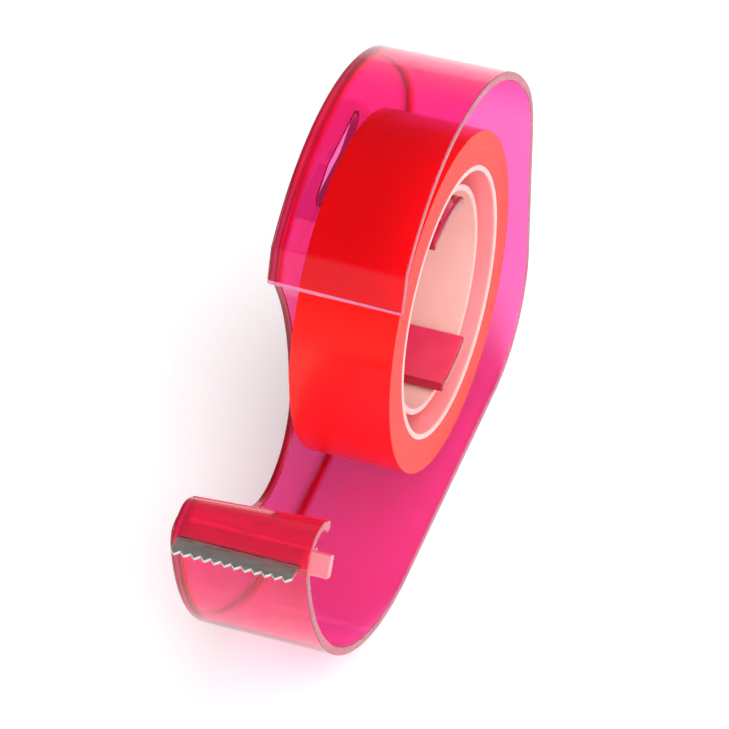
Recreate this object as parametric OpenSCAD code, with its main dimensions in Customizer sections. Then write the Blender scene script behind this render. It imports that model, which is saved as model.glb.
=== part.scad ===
// Small hand tape dispenser: a snail-shaped clear moulding with one open side,
// a steel cutter in its nose and a 12 mm roll of tape that turns on two fingers.
// The roll's axis runs along X, the nose points to -Y and the flat base rests on z = 0.

/* [Shell] */
// Width of the band from the closed side to the open side
band_w = 16; // [14:0.5:24]
// Thickness of the band
wall = 1.0; // [0.8:0.1:1.4]
// Thickness of the closed side wall
side_wall_t = 0.9; // [0.7:0.1:1.4]
// Outer radius of the hood over the roll
hood_r = 26.2; // [25.5:0.1:28]
// Outer radius of the long curve from the base up to the nose
nose_r = 29; // [27:0.5:31]
// Outer radius of the curl that ends the nose
curl_r = 4; // [3.6:0.1:4.6]
// Length of the straight lip at the front of the hood
lip_len = 4.6; // [2:0.2:6]
// Height of the roll's axis over the base
hub_z = 24.4; // [24:0.1:27]

/* [Hub] */
// Outer radius of the two fingers that carry the roll
finger_r = 12.4; // [12:0.05:12.5]
// Thickness of a finger
finger_t = 1.2; // [0.9:0.1:1.6]
// Height of the barb that keeps the roll on
barb_h = 0.6; // [0.3:0.1:0.7]

/* [Roll] */
// Width of the tape
tape_w = 12; // [9:0.5:12]
// Outer radius of a full roll
tape_r = 20; // [17:0.5:21]
// Outer radius of the core
core_r = 16; // [15.5:0.1:16.5]
// Radius of the core's bore
bore_r = 12.7; // [12.6:0.1:13]

/* [Cutter] */
// Number of teeth on the cutter
teeth = 12; // [8:1:16]
// Distance from one tooth to the next
tooth_pitch = 1.17; // [0.9:0.01:1.3]
// Thickness of the cutter
blade_t = 0.4; // [0.3:0.05:0.5]
// Length of the cutter that stands out of the nose
blade_out = 2.8; // [1.5:0.1:3.2]
// Length of the seat's lug beyond the open edge of the band
lug_len = 2.3; // [1:0.1:3]

/* [Hidden] */
$fn = 96;

// Points and angles below are [y, z] pairs and degrees seen from the open side.
cut_at = 153;                                  // where the cutter leaves the curl
cut_rise = 10;                                 // and how steeply it points up
hood_off = [1.0, 0.2];                         // hood's centre from the roll's axis
nose_off = -20;                                // nose arc's centre from the roll's axis
shoulder_r = 12;
shoulder_from = -9.2;                          // the back leans forward by this angle
shoulder_to = 26.7;
curl_from = 178;
curl_to = 30;
function polar(r, a) = [r * cos(a), r * sin(a)];

// The part's middle lies halfway between its back and the cutter's teeth.
back_y = hood_off[0] + polar(hood_r - shoulder_r, shoulder_to)[0] + shoulder_r;
front_y = nose_off + polar(nose_r - curl_r, curl_from)[0] + polar(curl_r, cut_at)[0]
    - polar(blade_out, cut_rise)[0] - polar(blade_t / 2, cut_rise)[1];
hub_y = -(back_y + front_y) / 2;
hub = [hub_y, hub_z];
x_far = -(band_w + lug_len) / 2;               // outer face of the closed side
x_in = x_far + side_wall_t;                    // inner face of the closed side
x_near = x_far + band_w;                       // open edge of the band
inner_w = band_w - side_wall_t;                // band beyond the side wall

// Hood: an arc just off the roll's axis, from the shoulder to the lip.
hood_c = hub + hood_off;
hood_end = 130;
hood_front = 200;                              // the side wall behind the mouth ends here
lip_down = 64;                                 // the lip falls this steeply
lip_top = hood_c + polar(hood_r, hood_end);
lip_end = lip_top + polar(lip_len, 180 + lip_down);
// Shoulder: the tighter arc behind the hood, down to the leaning back.
shoulder_c = hood_c + polar(hood_r - shoulder_r, shoulder_to);
// Heel: the round corner between the back and the base.
heel_r = 13;
lean = polar(1, shoulder_from);
back_off = shoulder_c * lean + shoulder_r;     // distance of the back's plane
heel_c = [(back_off - heel_r - heel_r * lean[1]) / lean[0], heel_r];
// Nose: one long arc up from the base, then the curl.
nose_c = [hub_y + nose_off, nose_r];
curl_c = nose_c + polar(nose_r - curl_r, curl_from);
bead_r = 0.8;
bead_c = curl_c + polar(curl_r - wall / 2, curl_to);

// Mouth: the concave free edge of the side wall between the lip and the nose.
mouth_r = 8;
mouth_c = hub + [-21.5, -5];
flank = 46;                                    // slope of the edge that climbs to the nose
flank_in = 0.02;                               // the flank meets the mouth's round just inside it
flank_foot = mouth_c + polar(mouth_r - flank_in, 270 - flank);
mouth_back_r = 35;
mouth_back_c = hub + [-13.2 - mouth_back_r, 1];

// Window: a slanted slot through the side wall beside the roll.
window_c = hub + [3.2, 15.7];
window_l = 10.5;
window_h = 3.4;
window_round = 1.1;
window_slant = 1.5;

// Cutter: its plane leaves the curl at cut_root, square in the seat's slot.
cut_root = curl_c + polar(curl_r, cut_at);
seat_at = 143;
seat_h = 2.6;
seat_depth = 2.0;
lug_t = 1.4;                                   // lug's thickness along the cutter
lug_in = 0.1;                                  // lug's face sits below the curl's face
blade_grip = 1.4;                              // cutter's length in the seat behind the band
blade_in = wall + blade_grip;
tooth_depth = 0.6;
blade_w = teeth * tooth_pitch;
blade_gap = 0.06;                              // room around the cutter in its slot
blade_edge = 1.0;                              // far end of the cutter from the closed side
blade_x = x_far + blade_edge;
notch_w = 7.6;                                 // gap between the cutter's two tabs
notch_d = 1.2;

// Roll: it sits this far inside the band's open edge.
roll_inset = 1.25;
tape_x = x_near - roll_inset - tape_w;
ring_t = 0.7;                                  // thickness of the core's rim and sleeve
rim_recess = 1.45;                             // the sleeve stands back from the core's faces
web_t = 1.0;
tip_back = 0.35;                               // finger tips end behind the roll's near face
finger_tip = tape_x + tape_w - tip_back;
barb_l = 1.0;
barb_half = 9;                                 // half the angle of a barb
barb_gap = 0.1;                                // barbs sit in front of the core's sleeve
barb_x = tape_x + tape_w - rim_recess + barb_gap;

far = 200;                                     // larger than the part, for cutting
seam = 0.2;                                    // degrees by which joined strips overlap

// Turns a [y, z] drawing into a solid of width w that starts at x = x0.
module along_x(x0, w) {
    translate([x0, 0, 0]) rotate([90, 0, 90]) linear_extrude(w) children();
}

// Wedge from angle a0 to a1 (under 180 degrees) about the origin.
module wedge(a0, a1) {
    polygon([[0, 0], polar(far, a0), polar(far, (a0 + a1) / 2), polar(far, a1)]);
}

// Curved strip of the band: outer radius r about c.
module strip(c, r, a0, a1) {
    translate(c) intersection() {
        difference() {
            circle(r);
            circle(r - wall);
        }
        wedge(a0, a1);
    }
}

// Straight strip of the band from p, along direction dir, with its wall to the left.
module straight(p, dir, len) {
    translate(p) rotate(dir) square([len, wall]);
}

module slot_cut() {
    reach = blade_in + 2 * blade_gap;
    translate([0, cut_root[0], cut_root[1]]) rotate([-cut_rise, 0, 0])
        translate([blade_x - blade_gap, -blade_out, -blade_t / 2 - blade_gap])
            cube([blade_w + 2 * blade_gap, blade_out + reach, blade_t + 2 * blade_gap]);
}

// Closed side of the part, before the mouth is cut out.
module outline() {
    translate(hood_c) intersection() {
        circle(hood_r);
        wedge(shoulder_to, hood_front);
    }
    translate(shoulder_c) circle(shoulder_r);
    translate(heel_c) circle(heel_r);
    polygon([heel_c + polar(heel_r, -90), heel_c + polar(heel_r, shoulder_from),
             shoulder_c + polar(shoulder_r, shoulder_from), shoulder_c, nose_c,
             nose_c + polar(nose_r, -90)]);
    translate(nose_c) intersection() {
        circle(nose_r);
        wedge(curl_from, 270);
    }
    translate(curl_c) circle(curl_r);
}

module mouth() {
    translate(mouth_c) circle(mouth_r);
    polygon([lip_top, lip_end, lip_end - [far, 0], lip_top - [far, 0]]);
    intersection() {
        translate(mouth_back_c) circle(mouth_back_r);
        polygon([mouth_c, flank_foot, flank_foot + polar(far, 180 - flank),
                 mouth_c + [0, far], mouth_c + [2 * mouth_r, far], mouth_c + [2 * mouth_r, 0]]);
    }
}

module window_shape() {
    dx = window_l / 2 - window_round;
    dy = window_h / 2 - window_round;
    hull() for (s = [-1, 1], t = [-1, 1])
        translate(window_c + [s * dx + t * window_slant, t * dy]) circle(window_round, $fn = 32);
}

module side_wall() {
    color("deeppink", 0.6) along_x(x_far, side_wall_t) difference() {
        outline();
        difference() {
            mouth();
            translate(curl_c) circle(curl_r);
        }
        window_shape();
    }
}

module hood() {
    color("deeppink", 0.6) along_x(x_in, inner_w) {
        strip(hood_c, hood_r, shoulder_to, hood_end);
        straight(lip_top, 180 + lip_down, lip_len);
    }
}

module back_band() {
    foot = heel_c + polar(heel_r, shoulder_from);
    run = norm(shoulder_c + polar(shoulder_r, shoulder_from) - foot);
    color("deeppink", 0.6) along_x(x_in, inner_w) {
        strip(shoulder_c, shoulder_r, shoulder_from - seam, shoulder_to);
        straight(foot, shoulder_from + 90, run);
        strip(heel_c, heel_r, -90, shoulder_from + seam);
    }
}

module base() {
    color("deeppink", 0.6) along_x(x_in, inner_w)
        translate([nose_c[0], 0]) square([heel_c[0] - nose_c[0], wall]);
}

module nose() {
    color("deeppink", 0.6) difference() {
        along_x(x_in, inner_w) {
            strip(nose_c, nose_r, curl_from - seam, 270);
            strip(curl_c, curl_r, curl_to, curl_from);
        }
        slot_cut();
    }
}

module nose_bead() {
    color("deeppink", 0.6) along_x(x_in, inner_w) difference() {
        translate(bead_c) circle(bead_r);
        strip(curl_c, curl_r, curl_to, curl_from);
    }
}

module blade_seat() {
    color("deeppink", 0.6) difference() {
        union() {
            along_x(x_in, inner_w) difference() {
                translate(curl_c) rotate(seat_at)
                    translate([curl_r - wall - seat_depth, -seat_h / 2]) square([seat_depth + wall, seat_h]);
                difference() {
                    translate(curl_c) circle(curl_r + wall);
                    translate(curl_c) circle(curl_r - wall);
                }
            }
            along_x(x_near, lug_len) translate(curl_c) rotate(seat_at)
                translate([curl_r - lug_in - lug_t, -seat_h / 2]) square([lug_t, seat_h]);
        }
        slot_cut();
    }
}

module finger(a0, a1) {
    mid = (a0 + a1) / 2;
    translate([0, hub_y, hub_z]) along_x(x_in, finger_tip - x_in) intersection() {
        difference() {
            circle(finger_r);
            circle(finger_r - finger_t);
        }
        wedge(a0, a1);
    }
    translate([0, hub_y, hub_z]) along_x(barb_x, barb_l) intersection() {
        difference() {
            circle(finger_r + barb_h);
            circle(finger_r);
        }
        wedge(mid - barb_half, mid + barb_half);
    }
}

module finger_bottom() {
    color("hotpink", 0.7) finger(-104, -66);
}

module finger_top() {
    color("hotpink", 0.7) finger(56, 104);
}

module cutter_blade() {
    color("silver") translate([blade_x, cut_root[0], cut_root[1]]) rotate([-cut_rise, 0, 0])
        translate([0, 0, -blade_t / 2]) linear_extrude(blade_t) polygon(concat(
            [[blade_w, blade_in], [(blade_w + notch_w) / 2, blade_in],
             [(blade_w + notch_w) / 2, blade_in - notch_d], [(blade_w - notch_w) / 2, blade_in - notch_d],
             [(blade_w - notch_w) / 2, blade_in], [0, blade_in], [0, tooth_depth - blade_out]],
            [for (i = [0 : teeth - 1], k = [0.5, 1])
                [(i + k) * tooth_pitch, (k == 1 ? tooth_depth : 0) - blade_out]]));
}

module ring(r_out, r_in, x0, w) {
    translate([x0, hub_y, hub_z]) rotate([0, 90, 0]) difference() {
        cylinder(r = r_out, h = w);
        translate([0, 0, -w]) cylinder(r = r_in, h = 3 * w);
    }
}

module core_rim() {
    color("mistyrose") ring(core_r, core_r - ring_t, tape_x, tape_w);
}

module core_web() {
    color("mistyrose") ring(core_r - ring_t, bore_r + ring_t, tape_x + (tape_w - web_t) / 2, web_t);
}

module core_sleeve() {
    color("mistyrose") ring(bore_r + ring_t, bore_r, tape_x + rim_recess, tape_w - 2 * rim_recess);
}

module tape_roll() {
    color("red") ring(tape_r, core_r, tape_x, tape_w);
}

side_wall();
hood();
back_band();
base();
nose();
nose_bead();
blade_seat();
finger_bottom();
finger_top();
cutter_blade();
core_rim();
core_web();
core_sleeve();
tape_roll();
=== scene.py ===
import math

import bmesh
import bpy
from mathutils import Matrix, Vector
from mathutils.geometry import tessellate_polygon


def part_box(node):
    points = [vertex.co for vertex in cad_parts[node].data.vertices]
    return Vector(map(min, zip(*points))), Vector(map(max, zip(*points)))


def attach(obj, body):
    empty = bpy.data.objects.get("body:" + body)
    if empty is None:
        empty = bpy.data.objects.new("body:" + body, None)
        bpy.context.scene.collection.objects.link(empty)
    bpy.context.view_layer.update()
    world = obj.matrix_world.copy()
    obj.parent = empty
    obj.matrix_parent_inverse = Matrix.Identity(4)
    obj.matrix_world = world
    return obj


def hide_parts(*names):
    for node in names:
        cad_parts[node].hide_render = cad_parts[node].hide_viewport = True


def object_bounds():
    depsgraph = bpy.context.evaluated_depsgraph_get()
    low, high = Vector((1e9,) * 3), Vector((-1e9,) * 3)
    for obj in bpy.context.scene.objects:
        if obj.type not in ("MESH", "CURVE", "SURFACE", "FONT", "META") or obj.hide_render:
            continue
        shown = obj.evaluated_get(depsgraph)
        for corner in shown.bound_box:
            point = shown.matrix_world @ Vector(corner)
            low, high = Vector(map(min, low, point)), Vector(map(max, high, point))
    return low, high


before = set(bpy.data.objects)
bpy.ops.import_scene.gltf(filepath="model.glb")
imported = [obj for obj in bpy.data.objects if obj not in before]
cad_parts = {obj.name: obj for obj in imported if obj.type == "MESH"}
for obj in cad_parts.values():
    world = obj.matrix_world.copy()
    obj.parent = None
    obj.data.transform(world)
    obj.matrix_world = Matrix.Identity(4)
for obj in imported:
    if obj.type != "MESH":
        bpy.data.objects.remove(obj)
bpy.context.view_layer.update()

MM = 0.001
WELD = 0.0005                            # vertices nearer than this, in millimetres, are one


# ============================ places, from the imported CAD, in millimetres ============================
def cad_box(node):
    lo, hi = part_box(node)
    return Vector(lo) / MM, Vector(hi) / MM


WALL_LO, WALL_HI = cad_box("side_wall")
BASE_LO, BASE_HI = cad_box("base")
TAPE_LO, TAPE_HI = cad_box("tape_roll")
RIM_LO, RIM_HI = cad_box("core_rim")
WEB_LO, WEB_HI = cad_box("core_web")
SLEEVE_LO, SLEEVE_HI = cad_box("core_sleeve")

HUB = ((TAPE_LO.y + TAPE_HI.y) / 2, (TAPE_LO.z + TAPE_HI.z) / 2)
TAPE_R = (TAPE_HI.y - TAPE_LO.y) / 2
CORE_R = (RIM_HI.y - RIM_LO.y) / 2
RING_T = 0.7                             # thickness of the core's two rings
BORE_R = (SLEEVE_HI.y - SLEEVE_LO.y) / 2 - RING_T
X_FAR, X_IN = WALL_LO.x, WALL_HI.x       # outer and inner face of the closed side
X_NEAR = cad_box("hood")[1].x            # open edge of the band
X_LUG = cad_box("blade_seat")[1].x       # end of the seat's lug
X_TIP = cad_box("finger_bottom")[1].x    # tips of the fingers
WALL = BASE_HI.z - BASE_LO.z             # thickness of the band


def polar(r, a, c=(0.0, 0.0)):
    return (c[0] + r * math.cos(math.radians(a)), c[1] + r * math.sin(math.radians(a)))


# ============== the moulding's outline, seen from the open side: [y, z] and degrees ==============
HOOD_R, SHOULDER_R, HEEL_R, NOSE_R, CURL_R = 26.2, 12.0, 13.0, 29.0, 4.0
HOOD_C = (HUB[0] + 1.0, HUB[1] + 0.2)
HOOD_END, SHOULDER_TO, BACK_LEAN = 130.0, 26.7, -9.2
LIP_DOWN, LIP_LEN, KINK_R = 64.0, 4.6, 1.6
CURL_FROM, CURL_TO = 178.0, 30.0
SHOULDER_C = polar(HOOD_R - SHOULDER_R, SHOULDER_TO, HOOD_C)
LEAN = polar(1.0, BACK_LEAN)
BACK_OFF = SHOULDER_C[0] * LEAN[0] + SHOULDER_C[1] * LEAN[1] + SHOULDER_R
HEEL_C = ((BACK_OFF - HEEL_R - HEEL_R * LEAN[1]) / LEAN[0], HEEL_R)
NOSE_C = (HUB[0] - 20.0, NOSE_R)
CURL_C = polar(NOSE_R - CURL_R, CURL_FROM, NOSE_C)
BEAD_R = 0.8
BEAD_C = polar(CURL_R - WALL / 2, CURL_TO, CURL_C)
LIP_TOP = polar(HOOD_R, HOOD_END, HOOD_C)
LIP_END = polar(LIP_LEN, 180 + LIP_DOWN, LIP_TOP)

MOUTH_R, FLANK = 8.0, 46.0
MOUTH_C = (HUB[0] - 21.5, HUB[1] - 5.0)
MOUTH_BACK_R = 35.0
MOUTH_BACK_C = (HUB[0] - 13.2 - MOUTH_BACK_R, HUB[1] + 1.0)
WINDOW_C = (HUB[0] + 3.2, HUB[1] + 15.7)
WINDOW_L, WINDOW_H, WINDOW_ROUND, WINDOW_SLANT = 10.5, 3.4, 1.1, 1.5

# The cutter, and the seat that it is pushed into.
CUT_AT, CUT_RISE, BLADE_OUT = 153.0, 10.0, 2.8
CUT_ROOT = polar(CURL_R, CUT_AT, CURL_C)
SEAT_AT, SEAT_H, SEAT_DEPTH, SEAT_SINK = 143.0, 2.6, 2.0, 0.85
LUG_T, LUG_IN = 1.4, 0.1
TEETH, PITCH, TOOTH_D, BLADE_T = 12, 1.17, 0.6, 0.4
GROUND, GROUND_THIN = 1.15, 0.55         # length of the ground part, and the share ground off at its tip
BLADE_IN, BLADE_GAP, NOTCH_W, NOTCH_D = WALL + 1.4, 0.06, 7.6, 1.2
BLADE_X = X_FAR + 1.0
BLADE_W = TEETH * PITCH

# The fingers, from and to these degrees, and the barbs that hold the roll.
FINGERS = ((-104.0, -66.0), (56.0, 104.0))
FINGER_R, FINGER_T, BARB_H, BARB_L, BARB_HALF = 12.4, 1.2, 0.6, 1.0, 9.0
BARB_STEPS = 8

# The tape.
TAPE_END = 68.0                          # degrees, where the tape's outer end lies
TAPE_FILM = 0.09                         # the outer turn's step
TAPE_FACE_ROWS = 26
TAPE_UNEVEN = 0.035                      # how far the turns lie out of line on its two faces

# Roundings that the mouldings have and the CAD leaves out.
FAR_ROUND, RIM_ROUND, FOOT_ROUND, EDGE_ROUND = 0.5, 0.14, 0.4, 0.12
END_ROUND, TIP_ROUND, FINGER_CORNER = 0.16, 0.22, 0.3
CORE_ROUND, WEB_ROUND = 0.14, 0.35
HOOD_DRAFT, CURL_DRAFT = 0.38, 0.95      # how far the closed side's outline lies inside the open side's
CURL_LEANS = (-22.0, 45.0, 150.0)        # the curl's draft fades in and out over these degrees
ROOT = 0.45                              # how far joined shapes reach into the side wall
INSET = 0.85                             # the plate's edge lies this deep inside the band


# ==================================== stations along the band ====================================
def arc_stations(c, r, a0, a1, step):
    n = max(2, math.ceil(abs(a1 - a0) / step))
    out = []
    for i in range(n + 1):
        a = a0 + (a1 - a0) * i / n
        out.append((polar(r, a, c), polar(1.0, a)))
    return out


def line_stations(p, q, normal, n):
    return [((p[0] + (q[0] - p[0]) * i / n, p[1] + (q[1] - p[1]) * i / n), normal) for i in range(n + 1)]


def joined(parts):
    out = []
    for part in parts:
        for p, n in part:
            if out and math.dist(out[-1][0], p) < 0.02:
                continue
            out.append((p, n))
    return out


def band_stations():
    """(outer point, outward normal) from the lip's end over the hood and the base to the curl's end."""
    turn = LIP_DOWN + 90 - HOOD_END
    kink_c = polar(-KINK_R / math.cos(math.radians(turn / 2)), HOOD_END + turn / 2, LIP_TOP)
    kink_back = math.degrees(KINK_R * math.tan(math.radians(turn / 2)) / HOOD_R)
    lip_n = polar(1.0, HOOD_END + turn)
    lip_start = polar(KINK_R, HOOD_END + turn, kink_c)
    back_top = polar(SHOULDER_R, BACK_LEAN, SHOULDER_C)
    back_foot = polar(HEEL_R, BACK_LEAN, HEEL_C)
    base_back, base_front = polar(HEEL_R, -90, HEEL_C), polar(NOSE_R, -90, NOSE_C)
    return joined([
        line_stations(LIP_END, lip_start, lip_n, 6),
        arc_stations(kink_c, KINK_R, HOOD_END + turn, HOOD_END, 4),
        arc_stations(HOOD_C, HOOD_R, HOOD_END - kink_back, SHOULDER_TO, 1.2),
        arc_stations(SHOULDER_C, SHOULDER_R, SHOULDER_TO, BACK_LEAN, 2.0),
        line_stations(back_top, back_foot, polar(1.0, BACK_LEAN), 12),
        arc_stations(HEEL_C, HEEL_R, BACK_LEAN, -90, 2.0),
        line_stations(base_back, base_front, (0.0, -1.0), 24),
        arc_stations(NOSE_C, NOSE_R, 270, CURL_FROM, 1.2),
        arc_stations(CURL_C, CURL_R, CURL_FROM, CURL_TO, 4.0)])


def draft(station):
    """How far the band leans inwards there on its way to the closed side."""
    p, (_, nz) = station
    if math.dist(p, CURL_C) < CURL_R + 0.05:
        a = angle_of(p, CURL_C)
        t = max(0.0, min(1.0, (CURL_LEANS[2] - a) / CURL_LEANS[1], (a - CURL_LEANS[0]) / CURL_LEANS[1]))
        return CURL_DRAFT * t * t * (3 - 2 * t)
    return HOOD_DRAFT * max(nz, 0.0)


def deep(station, d, x=None):
    """[y, z] of the point d below the band's outer face, at x if the draft counts."""
    (y, z), (ny, nz) = station
    if x is not None:
        d += draft(station) * (X_NEAR - x) / (X_NEAR - X_FAR)
    return (y - d * ny, z - d * nz)


# ======================================== polygon helpers ========================================
def area(loop):
    return sum(a[0] * b[1] - b[0] * a[1] for a, b in zip(loop, loop[1:] + loop[:1])) / 2


MITRE_LIMIT = 0.35                       # keeps a sharp corner's mitre short


def inset(loop, d):
    """The closed loop moved inwards by d (outwards if d is negative), with mitred corners."""
    side = 1.0 if area(loop) > 0 else -1.0
    out = []
    for i in range(len(loop)):
        p, q, r = neighbours(loop, i)
        a, b = (q - p).normalized(), (r - q).normalized()
        na, nb = Vector((-a.y, a.x)) * side, Vector((-b.y, b.x)) * side
        m = na + nb
        m = m / max(m.dot(na), MITRE_LIMIT) if m.length > 1e-6 else na
        out.append((q.x + m.x * d, q.y + m.y * d))
    return out


SIDE_SHARE = 0.45                        # the most of a side that one rounded corner takes up


def neighbours(loop, i):
    """The closed loop's points before i, at i and after i."""
    return Vector(loop[i - 1]), Vector(loop[i]), Vector(loop[(i + 1) % len(loop)])


def eased(a, corner, b, n=4):
    """Points of a small arc-like curve from a to b that turns at the corner."""
    out = []
    for k in range(n + 1):
        t = k / n
        v = a * (1 - t) ** 2 + corner * 2 * t * (1 - t) + b * t * t
        out.append((v.x, v.y))
    return out


def turns_left(p, q, r):
    return (q - p).x * (r - p).y - (q - p).y * (r - p).x > 0


def rounded(loop, r):
    """The loop with each corner replaced by a small curve that starts r before it."""
    out = []
    for i in range(len(loop)):
        p, q, s = neighbours(loop, i)
        a = q + (p - q).normalized() * min(r, (p - q).length * SIDE_SHARE)
        b = q + (s - q).normalized() * min(r, (s - q).length * SIDE_SHARE)
        out += eased(a, q, b)
    return out


def edge_layers(r, n=3):
    """(distance from the face, inset) pairs of a quarter-round edge."""
    turns = [math.pi / 2 * k / n for k in range(n + 1)]
    return [(r - r * math.cos(t), r - r * math.sin(t)) for t in turns]


# ========================================= mesh helpers =========================================
def new_object(name, verts, faces):
    """A mesh object from millimetre vertices, with all its faces turned outwards."""
    mesh = bpy.data.meshes.new(name)
    mesh.from_pydata([(v[0] * MM, v[1] * MM, v[2] * MM) for v in verts], [], faces)
    bm = bmesh.new()
    bm.from_mesh(mesh)
    bmesh.ops.remove_doubles(bm, verts=bm.verts, dist=WELD * MM)
    bmesh.ops.recalc_face_normals(bm, faces=bm.faces)
    bm.to_mesh(mesh)
    bm.free()
    obj = bpy.data.objects.new(name, mesh)
    bpy.context.scene.collection.objects.link(obj)
    return obj


def skin(rows, n, closed=False):
    """The faces between rows of n points, each row a closed loop. If closed, the last row meets the first."""
    faces = []
    for k in range(rows if closed else rows - 1):
        a, b = k * n, (k + 1) % rows * n
        for i in range(n):
            j = (i + 1) % n
            faces.append((a + i, a + j, b + j, b + i))
    return faces


def upright(x, p):
    return (x, p[0], p[1])


def prism(name, outer, holes, x0, x1, r0, r1, place=upright):
    """A flat plate between x0 and x1 with its faces' edges rounded by r0 and r1."""
    layers = [(x0 + d, s) for d, s in edge_layers(r0)] if r0 else [(x0, 0.0)]
    layers += [(x1 - d, s) for d, s in reversed(edge_layers(r1))] if r1 else [(x1, 0.0)]
    verts, faces, caps = [], [], ([], [])
    for loop, sign in [(outer, 1)] + [(h, -1) for h in holes]:
        first, n = len(verts), len(loop)
        for x, s in layers:
            verts += [place(x, p) for p in (inset(loop, s * sign) if s else loop)]
        for k in range(len(layers) - 1):
            for i in range(n):
                j = (i + 1) % n
                a, b = first + k * n, first + (k + 1) * n
                faces.append((a + i, a + j, b + j, b + i) if (area(loop) > 0) == (sign > 0)
                             else (a + j, a + i, b + i, b + j))
        last = first + (len(layers) - 1) * n
        caps[0].append([first + i for i in range(n)])
        caps[1].append([last + i for i in range(n)])
    for which, flip in ((0, True), (1, False)):
        rings = caps[which]
        flat = [i for ring in rings for i in ring]
        loops = [[Vector((*verts[i][1:], 0)) for i in ring] for ring in rings]
        for tri in tessellate_polygon(loops):
            t = [flat[i] for i in tri]
            if turns_left(*(Vector(verts[i][1:]) for i in t)) == flip:
                t.reverse()
            faces.append(tuple(t))
    return new_object(name, verts, faces)


def swept_band(name, stations, section, end_round):
    """The section, a loop of (x, depth), carried along the stations, with rounded ends."""
    run = [0.0]
    for a, b in zip(stations, stations[1:]):
        run.append(run[-1] + math.dist(a[0], b[0]))
    total = run[-1]

    def at(s):
        k = max(i for i in range(len(run)) if run[i] <= s + 1e-9)
        k = min(k, len(run) - 2)
        t = (s - run[k]) / (run[k + 1] - run[k])
        (p, u), (q, w) = stations[k], stations[k + 1]
        return ((p[0] + (q[0] - p[0]) * t, p[1] + (q[1] - p[1]) * t),
                (u[0] + (w[0] - u[0]) * t, u[1] + (w[1] - u[1]) * t))

    rows = [(at(d), inset(section, s) if s > 1e-9 else section) for d, s in edge_layers(end_round)]
    rows += [(st, section) for st, s in zip(stations, run) if end_round + 0.05 < s < total - 0.01]
    rows.append((at(total), section))
    verts = []
    for station, loop in rows:
        for x, d in loop:
            y, z = deep(station, d, x)
            verts.append((x, y, z))
    faces = skin(len(rows), len(section))
    last = (len(rows) - 1) * len(section)
    for first, loop, flip in ((0, rows[0][1], True), (last, rows[-1][1], False)):
        for tri in tessellate_polygon([[Vector((x, d, 0)) for x, d in loop]]):
            t = [first + i for i in tri]
            if (turns_left(*(Vector(loop[i]) for i in tri)) != (area(loop) > 0)) != flip:
                t.reverse()
            faces.append(tuple(t))
    return new_object(name, verts, faces)


def lathe(name, profile, segments, radius_at=None):
    """The closed profile of (x, radius) turned about the roll's axis."""
    verts = []
    for k in range(segments):
        a = 360.0 * k / segments
        for i, (x, r) in enumerate(profile):
            y, z = polar(r + (radius_at(i, a) if radius_at else 0.0), a, HUB)
            verts.append((x, y, z))
    return new_object(name, verts, skin(segments, len(profile), closed=True))


def apply_modifiers(obj):
    deps = bpy.context.evaluated_depsgraph_get()
    mesh = bpy.data.meshes.new_from_object(obj.evaluated_get(deps))
    obj.modifiers.clear()
    old, obj.data = obj.data, mesh
    bpy.data.meshes.remove(old)


def combine(obj, others, operation):
    for other in others:
        m = obj.modifiers.new("join", "BOOLEAN")
        m.operation, m.solver, m.object = operation, "MANIFOLD", other
        apply_modifiers(obj)
        bpy.data.objects.remove(other)


def finish_shading(obj, sharp_over):
    """Smooth faces that keep flat areas flat: normals weighted by area, edges over an angle sharp."""
    mesh = obj.data
    for f in mesh.polygons:
        f.use_smooth = True
    mesh.set_sharp_from_angle(angle=math.radians(sharp_over))
    m = obj.modifiers.new("normals", "WEIGHTED_NORMAL")
    m.weight, m.keep_sharp, m.mode = 100, True, "FACE_AREA"
    apply_modifiers(obj)


# ============================================ shapes ============================================
def band_section():
    """The band cut across, as a loop of (x, depth): its far corner, its open edge and the wall's foot."""
    q = [math.pi / 2 * k / 8 for k in range(9)]
    h = [math.pi / 2 * k / 4 for k in range(5)]
    loop = [(X_FAR, WALL)]
    loop += [(X_FAR + FAR_ROUND * (1 - math.cos(t)), FAR_ROUND * (1 - math.sin(t))) for t in q]
    loop += [(X_NEAR - RIM_ROUND * (1 - math.sin(t)), RIM_ROUND * (1 - math.cos(t))) for t in h]
    loop += [(X_NEAR - RIM_ROUND * (1 - math.cos(t)), WALL - RIM_ROUND * (1 - math.sin(t))) for t in h]
    loop += [(X_IN + FOOT_ROUND * (1 - math.sin(t)), WALL + FOOT_ROUND * (1 - math.cos(t))) for t in h]
    loop += [(X_IN - ROOT, WALL + FOOT_ROUND), (X_IN - ROOT, WALL)]
    return loop


def circle_meets(c0, r0, c1, r1, near):
    """The crossing of two circles that lies nearer to a point."""
    d = math.dist(c0, c1)
    a = (r0 * r0 - r1 * r1 + d * d) / (2 * d)
    h = math.sqrt(max(r0 * r0 - a * a, 0.0))
    ux, uy = (c1[0] - c0[0]) / d, (c1[1] - c0[1]) / d
    m = (c0[0] + a * ux, c0[1] + a * uy)
    both = ((m[0] - h * uy, m[1] + h * ux), (m[0] + h * uy, m[1] - h * ux))
    return min(both, key=lambda p: math.dist(p, near))


def angle_of(p, c):
    return math.degrees(math.atan2(p[1] - c[1], p[0] - c[0]))


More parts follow.
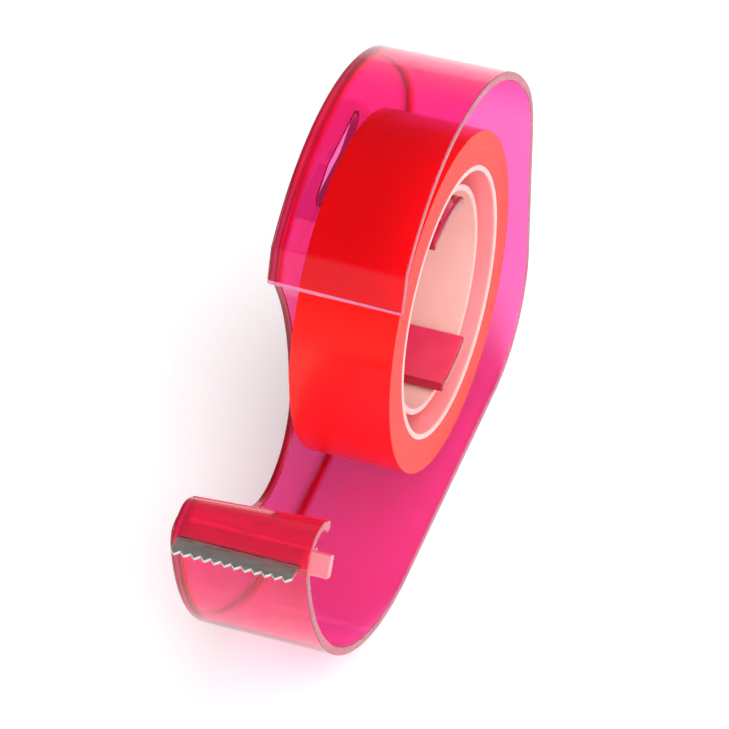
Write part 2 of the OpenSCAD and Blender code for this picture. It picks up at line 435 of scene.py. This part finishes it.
def plate_outline(stations):
    """The side wall's free edges, and its hidden edge inside the band."""
    def in_mouth(p):
        return math.dist(p, MOUTH_BACK_C) <= MOUTH_BACK_R and p[1] >= HUB[1] + 4

    def past_curl(p):
        return math.dist(p, CURL_C) < CURL_R and angle_of(p, CURL_C) < CURL_TO + 3 and p[0] > CURL_C[0]

    hidden = [deep(s, INSET, X_FAR) for s in stations]
    hidden = [p for p in hidden if not in_mouth(p) and not past_curl(p)]
    foot = polar(MOUTH_R, 270 - FLANK, MOUTH_C)
    way = polar(1.0, 180 - FLANK)
    along = (CURL_C[0] - foot[0]) * way[0] + (CURL_C[1] - foot[1]) * way[1]
    off = (CURL_C[0] - foot[0]) * way[1] - (CURL_C[1] - foot[1]) * way[0]
    reach = along - math.sqrt(CURL_R ** 2 - off ** 2)
    hit = (foot[0] + way[0] * reach, foot[1] + way[1] * reach)
    disc = arc_stations(CURL_C, CURL_R, CURL_TO, angle_of(hit, CURL_C), 4.0)
    disc = [deep(s, 0.0, X_FAR) for s in disc]
    meet = circle_meets(MOUTH_C, MOUTH_R, MOUTH_BACK_C, MOUTH_BACK_R, (MOUTH_C[0] + MOUTH_R, MOUTH_C[1]))
    round_ = [s[0] for s in arc_stations(MOUTH_C, MOUTH_R, 270 - FLANK, 360 + angle_of(meet, MOUTH_C), 4.0)]
    top = angle_of(hidden[0], MOUTH_BACK_C)
    back = [s[0] for s in arc_stations(MOUTH_BACK_C, MOUTH_BACK_R, angle_of(meet, MOUTH_BACK_C), top, 1.5)]
    flank = [s[0] for s in line_stations(hit, foot, None, 10)][1:-1]
    loop = hidden + disc + flank + round_ + back[1:]
    return [p for i, p in enumerate(loop) if math.dist(p, loop[i - 1]) > 0.03]


def window_loop():
    """The slanted window's outline: four arcs, given as (x, side, from, to) about the corners' centres."""
    dx, dy = WINDOW_L / 2 - WINDOW_ROUND, WINDOW_H / 2 - WINDOW_ROUND
    slope = math.degrees(math.atan2(dy, WINDOW_SLANT))
    corners = ((dx, -1, -90.0, slope - 90.0), (dx, 1, slope - 90.0, 90.0),
               (-dx, 1, 90.0, slope + 90.0), (-dx, -1, slope + 90.0, 270.0))
    loop = []
    for x, side, a0, a1 in corners:
        c = (WINDOW_C[0] + x + side * WINDOW_SLANT, WINDOW_C[1] + side * dy)
        loop += [s[0] for s in arc_stations(c, WINDOW_ROUND, a0, a1, 12.0)]
    return loop


def sector(r0, r1, a0, a1, c, step=3.0):
    outer = [s[0] for s in arc_stations(c, r1, a0, a1, step)]
    inner = [s[0] for s in arc_stations(c, r0, a1, a0, step)]
    return outer + inner


def finger_parts(k, a0, a1):
    """A finger and its barb, which rises behind the tip and slopes down to it."""
    loop = soft_ends(sector(FINGER_R - FINGER_T, FINGER_R, a0, a1, HUB), FINGER_CORNER)
    body = prism(f"finger_{k}", loop, [], X_IN - ROOT, X_TIP, 0, TIP_ROUND)
    x0, x1 = X_TIP - BARB_L, X_TIP - 0.25
    under, top = FINGER_R - 0.3, FINGER_R + BARB_H
    ramp = [(x0, under), (x0, top - 0.1), (x0 + 0.12, top), (x0 + 0.35, top - 0.04),
            (x1, FINGER_R + 0.08), (x1, under)]
    verts, m = [], len(ramp)
    for i in range(BARB_STEPS + 1):
        a = (a0 + a1) / 2 - BARB_HALF + 2 * BARB_HALF * i / BARB_STEPS
        for x, r in ramp:
            y, z = polar(r, a, HUB)
            verts.append((x, y, z))
    faces = skin(BARB_STEPS + 1, m)
    faces.append(tuple(range(m))[::-1])
    faces.append(tuple(BARB_STEPS * m + j for j in range(m)))
    return [body, new_object(f"barb_{k}", verts, faces)]


def soft_ends(loop, r):
    """Rounds the four corners of a sector, whose two arcs have as many points each."""
    half = len(loop) // 2
    out = []
    for i, point in enumerate(loop):
        if i not in (0, half - 1, half, len(loop) - 1):
            out.append(point)
            continue
        p, q, s = neighbours(loop, i)
        out += eased(q + (p - q).normalized() * r, q, q + (s - q).normalized() * r)
    return out


def radial_box(depth0, depth1, half, c, at, r, limit):
    """A rounded rectangle that points outwards from c at an angle, cut off by a circle of radius limit."""
    u, v = polar(1.0, at), polar(1.0, at + 90)
    corners = [(depth0, -half), (depth1, -half), (depth1, half), (depth0, half)]
    out = []
    for d, w in rounded(corners, r):
        m = math.hypot(d, w)
        f = min(1.0, limit / m)
        out.append((c[0] + (u[0] * d + v[0] * w) * f, c[1] + (u[1] * d + v[1] * w) * f))
    return out


def seat_parts():
    """The block under the curl that holds the cutter, and the lug beyond the open edge."""
    half = SEAT_H / 2
    low, high = CURL_R - WALL - SEAT_DEPTH, CURL_R - SEAT_SINK
    block = radial_box(low, high, half, CURL_C, SEAT_AT, 0.2, high + 0.05)
    low, high = CURL_R - LUG_IN - LUG_T, CURL_R - LUG_IN
    lug = radial_box(low, high, half, CURL_C, SEAT_AT, 0.3, high + 0.05)
    return [prism("seat", block, [], X_IN - ROOT, X_NEAR - 0.1, 0, 0.12),
            prism("lug", lug, [], X_NEAR - 0.3, X_LUG, 0, 0.15)]


def tilt(along, up):
    """[y, z] of a point along the cutter's plane, inwards, and above it."""
    u, w = polar(1.0, -CUT_RISE), polar(1.0, 90 - CUT_RISE)
    return (CUT_ROOT[0] + u[0] * along + w[0] * up, CUT_ROOT[1] + u[1] * along + w[1] * up)


def slot_tool():
    """What is cut out of the shell for the cutter, with a gap all round it."""
    half, end = BLADE_T / 2 + BLADE_GAP, BLADE_IN + 2 * BLADE_GAP
    loop = [tilt(-BLADE_OUT, -half), tilt(end, -half), tilt(end, half), tilt(-BLADE_OUT, half)]
    return prism("slot_tool", loop, [], BLADE_X - BLADE_GAP, BLADE_X + BLADE_W + BLADE_GAP, 0, 0)


def leaning(x, p):
    """A point of the bead, which follows the curl's draft."""
    d = CURL_DRAFT * (X_NEAR - x) / (X_NEAR - X_FAR)
    out = polar(1.0, CURL_TO)
    return (x, p[0] - d * out[0], p[1] - d * out[1])


def make_shell():
    """The whole moulding as one closed mesh."""
    stations = band_stations()
    shell = swept_band("shell_moulding", stations, band_section(), END_ROUND)
    plate = prism("plate", plate_outline(stations), [window_loop()], X_FAR, X_IN, EDGE_ROUND, EDGE_ROUND)
    bead = [s[0] for s in arc_stations(BEAD_C, BEAD_R - 0.1, 0, 350, 10)]
    bead = prism("bead", bead, [], X_FAR + 0.3, X_NEAR, 0.2, END_ROUND, leaning)
    joins = [plate, bead] + seat_parts()
    for k, (a0, a1) in enumerate(FINGERS):
        joins += finger_parts(k, a0, a1)
    combine(shell, joins, "UNION")
    combine(shell, [slot_tool()], "DIFFERENCE")
    finish_shading(shell, 32.0)
    return shell


def make_cutter():
    """The toothed strip with its two tabs, ground teeth and softened edges."""
    loop = [(0.0, BLADE_IN), (0.0, TOOTH_D - BLADE_OUT)]
    for i in range(TEETH):
        loop.append(((i + 0.5) * PITCH, -BLADE_OUT))
        loop.append(((i + 1) * PITCH, TOOTH_D - BLADE_OUT))
    w0, w1 = (BLADE_W - NOTCH_W) / 2, (BLADE_W + NOTCH_W) / 2
    notch = BLADE_IN - NOTCH_D
    loop += [(BLADE_W, BLADE_IN), (w1, BLADE_IN), (w1, notch), (w0, notch), (w0, BLADE_IN)]
    half = BLADE_T / 2
    layers = [(-half, 0.03), (-half + 0.03, 0.0), (half - 0.05, 0.0), (half, 0.05)]
    verts = []
    for up, s in layers:
        for x, along in inset(loop, s):
            thin = max(0.0, min(1.0, (GROUND - BLADE_OUT - along) / GROUND))
            y, z = tilt(along, up * (1 - GROUND_THIN * thin) if up > 0 else up)
            verts.append((BLADE_X + x, y, z))
    faces = skin(len(layers), len(loop))
    last = (len(layers) - 1) * len(loop)
    flat = [Vector((x, y, 0)) for x, y in loop]
    for tri in tessellate_polygon([flat]):
        t = list(tri)
        if turns_left(*(flat[i] for i in tri)) != (area(loop) > 0):
            t.reverse()
        faces.append(tuple(last + i for i in t))
        faces.append(tuple(t[::-1]))
    obj = new_object("cutter_strip", verts, faces)
    finish_shading(obj, 20.0)
    return obj


def make_core():
    """Two rings joined by a web, with every corner rounded and fillets at the web."""
    r0, r1, r2, r3 = BORE_R, BORE_R + RING_T, CORE_R - RING_T, CORE_R
    profile = [(RIM_LO.x, r3 - 0.03), (RIM_LO.x, r2), (WEB_LO.x, r2), (WEB_LO.x, r1), (SLEEVE_LO.x, r1),
               (SLEEVE_LO.x, r0), (SLEEVE_HI.x, r0), (SLEEVE_HI.x, r1), (WEB_HI.x, r1), (WEB_HI.x, r2),
               (RIM_HI.x, r2), (RIM_HI.x, r3 - 0.03)]
    soft = []
    for i, (x, _) in enumerate(profile):
        r = WEB_ROUND if x in (WEB_LO.x, WEB_HI.x) else CORE_ROUND
        p, q, s = neighbours(profile, i)
        soft += eased(q + (p - q).normalized() * r, q, q + (s - q).normalized() * r)
    obj = lathe("core_moulding", soft, 180)
    finish_shading(obj, 40.0)
    return obj


def make_tape():
    """The wound film: uneven turns on both faces, a spiral outer turn and its cut end."""
    x0, x1 = TAPE_LO.x, TAPE_HI.x
    steps = range(TAPE_FACE_ROWS + 1)
    rows = [CORE_R + (TAPE_R - 0.12 - CORE_R) * k / TAPE_FACE_ROWS for k in steps]
    uneven = [TAPE_UNEVEN * (0.5 + 0.5 * math.sin(2.1 * k) * math.cos(0.83 * k + 0.4)) for k in steps]
    near = [(x1 - uneven[k], r) for k, r in enumerate(rows)]
    far = [(x0 + uneven[-1 - k], r) for k, r in enumerate(rows)][::-1]
    outer = [(x1 - 0.02, TAPE_R - 0.07), (x1 - 0.07, TAPE_R - 0.015)]
    outer += [(x1 + (x0 - x1) * k / 6, TAPE_R) for k in range(1, 6)]
    outer += [(x0 + 0.07, TAPE_R - 0.015), (x0 + 0.02, TAPE_R - 0.07)]
    profile = near + outer + far
    top = set(range(len(near), len(near) + len(outer)))

    def radius_at(i, a):
        if i not in top:
            return 0.0
        turn = ((TAPE_END - a) % 360.0) / 360.0
        return -TAPE_FILM * turn

    obj = lathe("tape_wound", profile, 360, radius_at)
    finish_shading(obj, 30.0)
    return obj


# =========================================== materials ===========================================
class Nodes:
    """Short names for building a node tree."""

    def __init__(self, name):
        self.mat = bpy.data.materials.new(name)
        self.mat.use_nodes = True
        self.tree = self.mat.node_tree
        self.bsdf = self.tree.nodes["Principled BSDF"]
        self.out = self.tree.nodes["Material Output"]

    def add(self, kind, **values):
        node = self.tree.nodes.new(kind)
        for key, value in values.items():
            setattr(node, key, value)
        return node

    def link(self, a, b):
        self.tree.links.new(a, b)

    def math(self, op, a, b=None):
        node = self.add("ShaderNodeMath", operation=op)
        for k, v in enumerate((a, b)):
            if v is None:
                continue
            if isinstance(v, (int, float)):
                node.inputs[k].default_value = v
            else:
                self.link(v, node.inputs[k])
        return node.outputs[0]

    def above(self, value, limit):
        return self.math("GREATER_THAN", value, limit)

    def below(self, value, limit):
        return self.math("LESS_THAN", value, limit)

    def times(self, a, b):
        return self.math("MULTIPLY", a, b)

    def most(self, *values):
        most = values[0]
        for value in values[1:]:
            most = self.math("MAXIMUM", most, value)
        return most

    def coords(self, scale=(1, 1, 1), at=(0, 0, 0)):
        tex = self.add("ShaderNodeTexCoord")
        mapping = self.add("ShaderNodeMapping")
        mapping.inputs["Location"].default_value = at
        mapping.inputs["Scale"].default_value = scale
        self.link(tex.outputs["Object"], mapping.inputs["Vector"])
        return mapping.outputs[0]

    def axes(self, vector):
        split = self.add("ShaderNodeSeparateXYZ")
        self.link(vector, split.inputs[0])
        return split.outputs

    def noise(self, vector, scale, detail=3.0, rough=0.55):
        node = self.add("ShaderNodeTexNoise")
        node.inputs["Scale"].default_value = scale
        node.inputs["Detail"].default_value = detail
        node.inputs["Roughness"].default_value = rough
        self.link(vector, node.inputs["Vector"])
        return node.outputs["Fac"]

    def spread(self, value, low, high, from_low=0.3, from_high=0.7):
        node = self.add("ShaderNodeMapRange")
        node.inputs["From Min"].default_value = from_low
        node.inputs["From Max"].default_value = from_high
        node.inputs["To Min"].default_value = low
        node.inputs["To Max"].default_value = high
        self.link(value, node.inputs["Value"])
        return node.outputs[0]

    def ramp(self, value, stops):
        node = self.add("ShaderNodeValToRGB")
        while len(node.color_ramp.elements) < len(stops):
            node.color_ramp.elements.new(0.5)
        for element, (at, colour) in zip(node.color_ramp.elements, stops):
            element.position, element.color = at, (*colour, 1)
        self.link(value, node.inputs["Fac"])
        return node.outputs["Color"]

    def mix(self, fac, a, b):
        node = self.add("ShaderNodeMix", data_type="RGBA")
        for socket, v in ((node.inputs[0], fac), (node.inputs[6], a), (node.inputs[7], b)):
            if isinstance(v, (int, float)):
                socket.default_value = v
            elif isinstance(v, tuple):
                socket.default_value = (*v, 1)
            else:
                self.link(v, socket)
        return node.outputs[2]

    def shade(self, cloud, pair):
        """A colour that drifts between two shades with the noise."""
        return self.mix(self.spread(cloud, 0.0, 1.0), *pair)

    def bump(self, height, strength, distance):
        node = self.add("ShaderNodeBump")
        node.inputs["Strength"].default_value = strength
        node.inputs["Distance"].default_value = distance
        self.link(height, node.inputs["Height"])
        self.link(node.outputs[0], self.bsdf.inputs["Normal"])

    def set(self, **values):
        for key, value in values.items():
            self.bsdf.inputs[key.replace("_", " ")].default_value = value

    def feed(self, value, socket):
        self.link(value, self.bsdf.inputs[socket])

    def radius(self, centre=HUB):
        """Distance from an axis along X, in millimetres."""
        _, y, z = self.axes(self.coords(at=(0, -centre[0] * MM, -centre[1] * MM)))
        square = self.math("ADD", self.math("POWER", y, 2.0), self.math("POWER", z, 2.0))
        return self.times(self.math("SQRT", square), 1 / MM)

    def facing_x(self):
        """1 on the faces at right angles to the roll's axis, 0 on its rounds."""
        tex = self.add("ShaderNodeTexCoord")
        return self.math("ABSOLUTE", self.axes(tex.outputs["Normal"])[0])


LET_THROUGH = (0.992, 0.19, 0.53)        # share of each colour left after 1 mm of the plastic

# The moulding's shades where it isn't simply clear, each as the two that it drifts between. Apart from the
# clear one, they are painted shades and painted highlights that stand in for how light passes through and
# along the clear plastic.
CLEAR = ((1.0, 0.99, 0.995), (0.99, 0.95, 0.97))
EDGE_PAINTED_SHADE = ((0.92, 0.03, 0.12), (0.80, 0.02, 0.09))          # painted crimson shade along the closed side's edge
EDGE_LINE_PAINTED_SHADE = ((0.46, 0.006, 0.03), (0.36, 0.004, 0.02))           # painted darker shade on that edge's outermost line
FINGER_PAINTED_SHADE = ((1.0, 0.075, 0.18), (0.95, 0.06, 0.15))             # painted ruby shade of the fingers
RIM_PAINTED_SHADE = ((0.76, 0.13, 0.22), (0.68, 0.10, 0.18))           # painted greyed shade on the open rim
CUT_PAINTED_HIGHLIGHT = ((1.0, 0.42, 0.68), (0.96, 0.36, 0.62))              # painted rosy highlight on the cut edges of window and lip
LUG_PAINTED_HIGHLIGHT = ((0.98, 0.36, 0.42), (0.94, 0.30, 0.37))          # painted lighter highlight on the lug
# painted deeper red shade on the curl, and painted dark shade on the fingers' sides and tips
CURL_PAINTED_SHADE, FINGER_SIDE_PAINTED_SHADE = (0.88, 0.03, 0.10), (0.50, 0.012, 0.045)

# How opaque it is there, from 0 to 1, so that the painted shades and highlights show.
EDGE_SHUT, FINGER_SHUT, CURL_SHUT, CUT_SHUT, RIM_SHUT, LUG_SHUT = 0.6, 0.62, 0.4, 0.5, 0.45, 0.6

# Where those places lie, in millimetres.
EDGE_FADE, SHUT_FADE, DARK_FADE = (1.4, 2.0), (0.8, 1.4), (0.35, 0.7)       # inwards from the closed side
CURL_FADE, CURL_UP = (0.1, 0.6), (0.6, 1.8)                 # outside the curl's radius, above its centre
WINDOW_FROM, WINDOW_TO = 13.0, 19.0                         # above the hub, and radius
HUB_ROOM = FINGER_R + 1.0                                   # the fingers lie inside this radius
FINGER_MID, FINGER_HALF, UPPER_EDGE = 1.0, 3.6, 0.7         # painted dark shade on the sides, and its share over the whole upper finger
TIP_DEPTH, LIP_R = 0.12, 0.6


def shell_material():
    n = Nodes("clear_magenta")
    n.set(Base_Color=(1, 1, 1, 1), Transmission_Weight=1.0, IOR=1.47, Roughness=0.02)
    at = n.coords()
    x, y, z = (n.times(v, 1 / MM) for v in n.axes(at))
    flat, from_hub = n.facing_x(), n.radius()
    round_ = n.below(flat, 0.9)

    # Masks, 1 in each of the places above and 0 elsewhere.
    rim = n.times(n.times(n.above(x, X_TIP - 0.25), n.above(flat, 0.6)), n.above(from_hub, HUB_ROOM))
    lug = n.above(x, X_NEAR + 0.03)
    window = n.times(n.times(n.above(z, HUB[1] + WINDOW_FROM), n.below(from_hub, WINDOW_TO)), round_)
    lip = n.below(n.radius(deep((LIP_END, polar(1.0, LIP_DOWN + 90)), WALL / 2)), LIP_R)
    cut = n.most(window, lip)
    edge, edge_shut, outermost = (n.times(n.spread(x, 1.0, 0.0, X_FAR + near, X_FAR + far), round_)
                                  for near, far in (EDGE_FADE, SHUT_FADE, DARK_FADE))
    finger = n.times(n.above(x, X_IN + 0.6), n.below(from_hub, HUB_ROOM))
    beside = n.math("ABSOLUTE", n.math("SUBTRACT", y, HUB[0] + FINGER_MID))
    outline = n.most(n.above(beside, FINGER_HALF), n.above(x, X_TIP - TIP_DEPTH),
                     n.times(n.above(z, HUB[1]), UPPER_EDGE))
    curl = n.times(n.spread(n.radius(CURL_C), 1.0, 0.0, *(CURL_R + d for d in CURL_FADE)),
                   n.spread(z, 0.0, 1.0, *(CURL_C[1] + d for d in CURL_UP)))

    cloud = n.noise(at, 300.0)
    # painted deeper red shade on the curl
    colour = n.mix(curl, n.shade(n.noise(at, 40.0), CLEAR), CURL_PAINTED_SHADE)
    # painted crimson shade along the closed side's edge
    colour = n.mix(edge, colour, n.shade(cloud, EDGE_PAINTED_SHADE))
    # painted darker shade on the closed side's outermost line
    colour = n.mix(outermost, colour, n.shade(cloud, EDGE_LINE_PAINTED_SHADE))
    # painted rosy highlight on the cut edges of window and lip
    colour = n.mix(cut, colour, n.shade(cloud, CUT_PAINTED_HIGHLIGHT))
    # the fingers painted a ruby shade, with painted dark shade on their sides, their tips and the upper
    # finger
    colour = n.mix(finger, colour, n.mix(outline, n.shade(cloud, FINGER_PAINTED_SHADE), FINGER_SIDE_PAINTED_SHADE))
    # painted greyed shade on the open rim
    colour = n.mix(rim, colour, n.shade(cloud, RIM_PAINTED_SHADE))
    # painted lighter highlight on the lug
    n.feed(n.mix(lug, colour, n.shade(cloud, LUG_PAINTED_HIGHLIGHT)), "Base Color")
    # partly opaque at those places, so that their painted shades and highlights show
    shut = n.most(n.times(edge_shut, EDGE_SHUT), n.times(finger, FINGER_SHUT),
                  n.times(n.math("POWER", curl, 3.0), CURL_SHUT), n.times(cut, CUT_SHUT),
                  n.times(rim, RIM_SHUT), n.times(lug, LUG_SHUT))
    n.feed(n.math("SUBTRACT", 1.0, shut), "Transmission Weight")
    n.feed(n.mix(rim, n.spread(n.noise(at, 90.0), 0.012, 0.05), n.spread(cloud, 0.24, 0.36)), "Roughness")
    n.bump(n.noise(n.coords(scale=(0.3, 1, 1)), 70.0, 1.0), 0.14, 0.0004)
    loss = [-math.log(c) / MM for c in LET_THROUGH]
    density = max(loss)
    volume = n.add("ShaderNodeVolumeAbsorption")
    volume.inputs["Density"].default_value = density
    volume.inputs["Color"].default_value = (*[1 - part / density for part in loss], 1)
    n.link(volume.outputs[0], n.out.inputs["Volume"])
    return n.mat


STEEL = ((0.42, 0.42, 0.40), (0.61, 0.61, 0.58))


def cutter_material():
    """Steel with rolling lines along the strip."""
    n = Nodes("stamped_steel")
    n.set(Metallic=1.0, Roughness=0.35)
    lines = n.noise(n.coords(scale=(0.06, 1, 1)), 9000.0, 4.0, 0.6)
    marks = n.noise(n.coords(), 700.0)
    n.feed(n.shade(lines, STEEL), "Base Color")
    n.feed(n.math("ADD", n.spread(lines, 0.26, 0.42), n.spread(marks, -0.04, 0.06)), "Roughness")
    n.bump(lines, 0.35, 0.00004)
    return n.mat


# The core's shades, all painted: pink in general for the tape's red light shining into the white plastic, a
# deeper painted shade between its rings, and painted light on the rings' ends.
CORE_PAINTED_RED_LIGHT = ((0.88, 0.54, 0.47), (0.84, 0.48, 0.41))
GROOVE_PAINTED_SHADE = ((0.96, 0.31, 0.33), (0.94, 0.26, 0.28))
RING_END_PAINTED_LIGHT = ((0.90, 0.47, 0.48), (0.86, 0.41, 0.42))


def core_material():
    n = Nodes("milky_plastic")
    n.set(Roughness=0.4, IOR=1.5)
    at = n.coords()
    r, x = n.radius(), n.axes(at)[0]
    between = n.times(n.above(r, BORE_R + RING_T + 0.05), n.below(r, CORE_R - RING_T + 0.1))
    inside = n.times(n.below(x, (RIM_HI.x - 0.25) * MM), n.above(x, (RIM_LO.x + 0.25) * MM))
    groove = n.times(between, inside)
    cloud = n.noise(at, 120.0)
    # the tape's red light painted in everywhere, painted shade between the rings and painted light on the
    # ring ends
    walls, ends = (n.mix(groove, n.shade(cloud, pair), n.shade(cloud, GROOVE_PAINTED_SHADE)) for pair in (CORE_PAINTED_RED_LIGHT, RING_END_PAINTED_LIGHT))
    n.feed(n.mix(n.above(n.facing_x(), 0.8), walls, ends), "Base Color")
    n.feed(n.spread(n.noise(at, 300.0), 0.3, 0.48), "Roughness")
    n.bump(n.noise(at, 1500.0, 2.0), 0.15, 0.00003)
    return n.mat


WOUND = ((0.96, 0.009, 0.007), (1.0, 0.014, 0.010))
TURNS = ((0.35, (0.84, 0.012, 0.008)), (0.5, (1.0, 0.044, 0.029)), (0.65, (0.88, 0.020, 0.013)))


def tape_material():
    """Glossy film, with the edges of its turns on the two faces."""
    n = Nodes("red_film")
    n.set(Roughness=0.25, IOR=1.36)
    at = n.coords()
    face = n.above(n.facing_x(), 0.7)
    turns = n.add("ShaderNodeTexNoise", noise_dimensions="1D")
    turns.inputs["Scale"].default_value = 7.0
    turns.inputs["Detail"].default_value = 6.0
    n.link(n.radius(), turns.inputs["W"])
    turns = turns.outputs[0]
    cloud = n.noise(at, 60.0)
    n.feed(n.mix(face, n.shade(cloud, WOUND), n.ramp(turns, TURNS)), "Base Color")
    n.feed(n.mix(face, n.spread(n.noise(at, 200.0), 0.16, 0.26), n.spread(turns, 0.42, 0.58)), "Roughness")
    n.bump(n.mix(face, n.times(cloud, 0.25), turns), 0.25, 0.00008)
    return n.mat


def wear(obj, material):
    obj.data.materials.clear()
    obj.data.materials.append(material)


# ============================================= pieces =============================================
SHELL_NODES = ("side_wall", "hood", "back_band", "base", "nose", "nose_bead", "blade_seat",
               "finger_bottom", "finger_top")


def make_pieces():
    shell, cutter, core, tape = make_shell(), make_cutter(), make_core(), make_tape()
    for obj, material, body, slot, nodes in (
            (shell, shell_material(), "shell", "clear_plastic", SHELL_NODES),
            (cutter, cutter_material(), "shell", "cutter_steel", ("cutter_blade",)),
            (core, core_material(), "roll", "core_plastic", ("core_rim", "core_web", "core_sleeve")),
            (tape, tape_material(), "roll", "tape_film", ("tape_roll",))):
        wear(obj, material)
        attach(obj, body)
        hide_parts(*nodes)


# ========================================= floor and light =========================================
FLOOR_HALF, FLOOR_CELLS, FLOOR_Z = 2.0, 8, -0.00002          # metres, just below the part
FLOOR_WHITE = ((0.93, 0.93, 0.93), (0.95, 0.95, 0.95))
FLOOR_GLOW = 0.24

# The sky's greys by height, and each softbox's name, place, aim, width, depth (metres) and radiance.
SKY = ((0.02, 0.62), (0.35, 0.30), (0.8, 0.10))
SOFTBOXES = (
    ("top_box", (0.85, -0.1, 1.0), (0.85, -0.1, 0), 1.7, 2.4, 2.1),
    ("front_box", (0.9, -0.95, 0.85), (0, 0, 0.02), 1.1, 1.1, 2.5),
    ("closed_side_box", (-1.2, -0.35, 0.65), (0, 0, 0.02), 0.9, 0.9, 2.2))


def floor_material():
    n = Nodes("pale_floor")
    n.set(Roughness=0.75, Specular_IOR_Level=0.1, Emission_Color=(1, 1, 1, 1), Emission_Strength=FLOOR_GLOW)
    n.feed(n.shade(n.noise(n.coords(), 3.0), FLOOR_WHITE), "Base Color")
    return n.mat


def make_floor():
    row = FLOOR_CELLS + 1
    steps = [(k / FLOOR_CELLS * 2 - 1) * FLOOR_HALF for k in range(row)]
    verts = [(x, y, FLOOR_Z) for y in steps for x in steps]
    faces = [(j * row + i, j * row + i + 1, (j + 1) * row + i + 1, (j + 1) * row + i)
             for j in range(FLOOR_CELLS) for i in range(FLOOR_CELLS)]
    mesh = bpy.data.meshes.new("floor")
    mesh.from_pydata(verts, [], faces)
    floor = bpy.data.objects.new("floor", mesh)
    bpy.context.scene.collection.objects.link(floor)
    wear(floor, floor_material())


def softbox(name, place, aim, width, depth, glow):
    """A soft area light of the given radiance."""
    light = bpy.data.lights.new(name, "AREA")
    light.shape, light.size, light.size_y = "RECTANGLE", width, depth
    light.energy = glow * math.pi * width * depth
    obj = bpy.data.objects.new(name, light)
    obj.visible_camera = False
    bpy.context.scene.collection.objects.link(obj)
    obj.location = place
    obj.rotation_mode = "QUATERNION"
    obj.rotation_quaternion = (Vector(aim) - Vector(place)).to_track_quat("-Z", "Y")


def make_light():
    world = bpy.data.worlds.new("studio")
    bpy.context.scene.world = world
    world.use_nodes = True
    tree = world.node_tree
    tex = tree.nodes.new("ShaderNodeTexCoord")
    split = tree.nodes.new("ShaderNodeSeparateXYZ")
    ramp = tree.nodes.new("ShaderNodeValToRGB")
    ramp.color_ramp.elements.new(0.4)
    for element, (at, grey) in zip(ramp.color_ramp.elements, SKY):
        element.position, element.color = at, (grey, grey, grey, 1)
    tree.links.new(tex.outputs["Generated"], split.inputs[0])
    tree.links.new(split.outputs[2], ramp.inputs["Fac"])
    tree.links.new(ramp.outputs["Color"], tree.nodes["Background"].inputs["Color"])
    for box in SOFTBOXES:
        softbox(*box)


# ============================================= camera =============================================
CAM_AT = (0.20102, -0.47672, 0.57892)    # metres, in the part's frame
CAM_UP = (-0.22379, 0.69684, 0.68143)
PHOTO_FOCUS = 3218.0                     # focal length, in pixels of a 729 pixel wide frame
FRAME_PX, SENSOR, ZOOM = 729.0, 36.0, 2.1


def make_camera():
    data = bpy.data.cameras.new("camera")
    data.sensor_width = SENSOR
    data.lens = PHOTO_FOCUS * ZOOM / FRAME_PX * SENSOR
    data.clip_start, data.clip_end = 0.01, 20.0
    data.dof.use_dof = False
    camera = bpy.data.objects.new("camera", data)
    bpy.context.scene.collection.objects.link(camera)
    lo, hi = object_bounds()
    look = ((lo + hi) / 2 - Vector(CAM_AT)).normalized()
    right = look.cross(Vector(CAM_UP)).normalized()
    up = right.cross(look)
    turn = Matrix((right, up, -look)).transposed()
    camera.matrix_world = Matrix.Translation(Vector(CAM_AT)) @ turn.to_4x4()
    bpy.context.scene.camera = camera


def main():
    bpy.context.scene.view_settings.view_transform = "Standard"
    make_camera()
    make_pieces()
    make_floor()
    make_light()


main()
